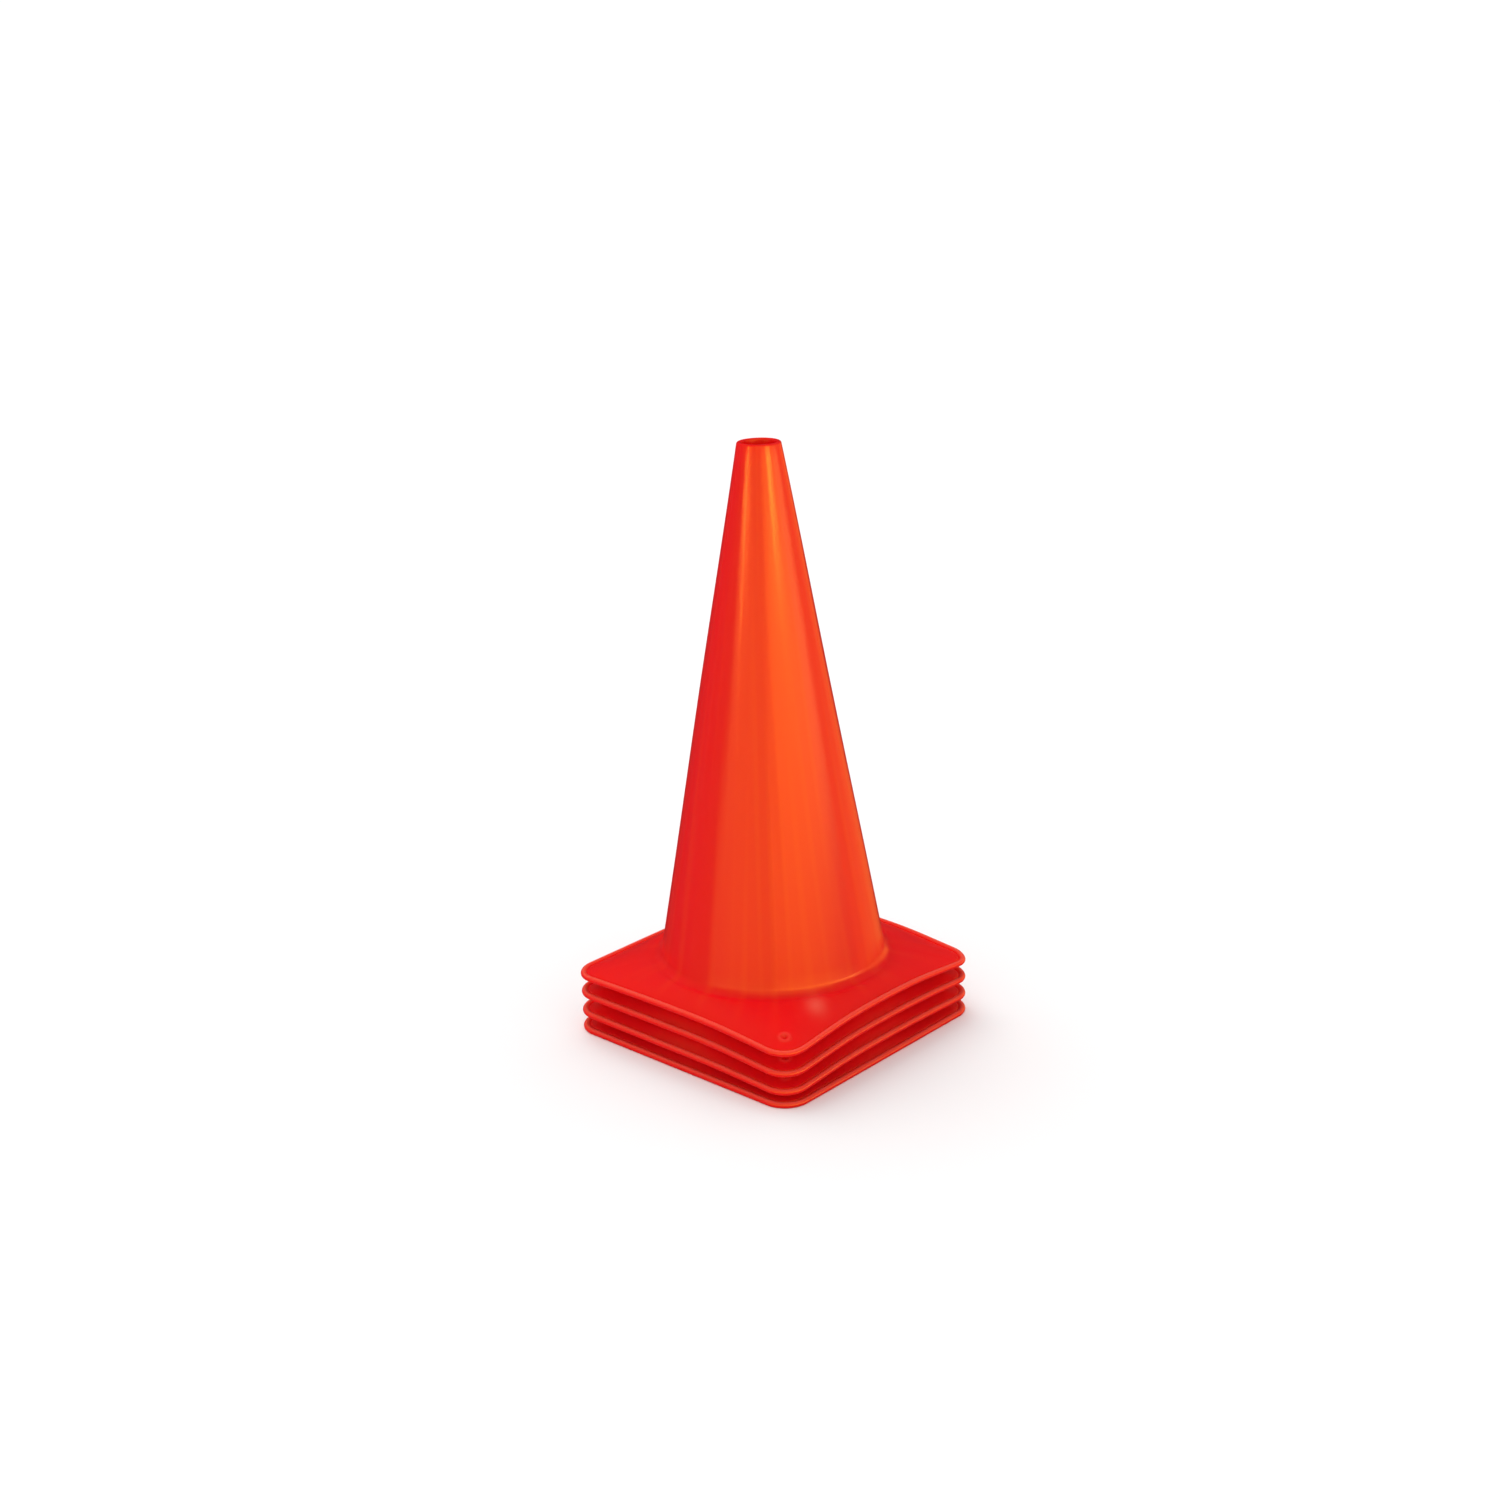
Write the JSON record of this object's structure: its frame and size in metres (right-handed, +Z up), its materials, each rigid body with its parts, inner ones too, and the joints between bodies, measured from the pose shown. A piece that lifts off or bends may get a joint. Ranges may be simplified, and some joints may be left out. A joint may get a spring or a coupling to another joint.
{
  "type": "nested stack of field cones",
  "caption": "Nested stack of one-piece soft plastic marker cones, each a hollow open-topped taper on a square dished base with a beaded lip, which lift off one by one.",
  "frame": {"origin": "on the floor, in the middle of the bottom cone's square base", "axes": "+Z up along the common axis of the cones, X and Y along the sides of the square bases"},
  "size_m": [0.252, 0.252, 0.5103],
  "materials": {
    "cone_plastic": "moulded, semi-gloss, red-orange"
  },
  "bodies": {
    "bottom_cone": {"bottom_cone": "cone_plastic"},
    "second_cone": {"second_cone": "cone_plastic"},
    "third_cone": {"third_cone": "cone_plastic"},
    "top_cone": {"top_cone": "cone_plastic"}
  },
  "joints": [
    {"name": "lift_second_cone", "type": "slide", "parent": "bottom_cone", "child": "second_cone", "axis": [0, 0, 1], "range_m": [0, 0.46]},
    {"name": "lift_third_cone", "type": "slide", "parent": "second_cone", "child": "third_cone", "axis": [0, 0, 1], "range_m": [0, 0.46]},
    {"name": "lift_top_cone", "type": "slide", "parent": "third_cone", "child": "top_cone", "axis": [0, 0, 1], "range_m": [0, 0.46]}
  ]
}
